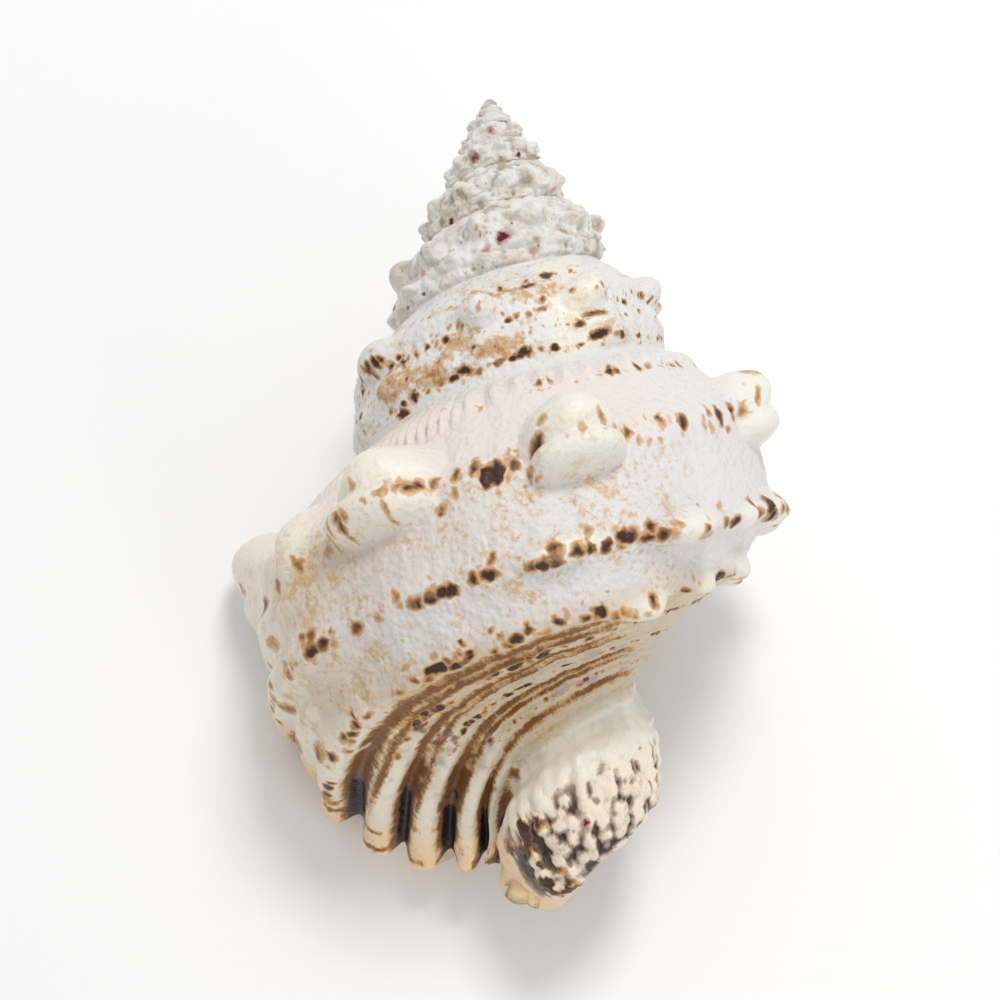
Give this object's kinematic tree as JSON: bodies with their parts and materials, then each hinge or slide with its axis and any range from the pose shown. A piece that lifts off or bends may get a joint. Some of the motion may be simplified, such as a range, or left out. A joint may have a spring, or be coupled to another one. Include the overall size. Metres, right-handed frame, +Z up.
{
  "type": "frog shell",
  "caption": "Large knobbed sea snail shell with a tall spire, a fluted flaring lip, a hollow aperture and a short canal, to set down as a natural ornament.",
  "frame": {"origin": "bottom centre of the bounding box of the shell as it rests, aperture down", "axes": "+Y towards the apex along the coiling axis, +Z up out of the back, +X to the right of the back with the lip at -X"},
  "size_m": [0.1228, 0.1804, 0.1032],
  "materials": {
    "shell": "natural shell carbonate: creamy white with brown spots in rows, worn and chalky on the spire, a soft gloss on the last turn and a smooth glazed aperture"
  },
  "bodies": {
    "root": {"shell": "shell"}
  },
  "joints": []
}
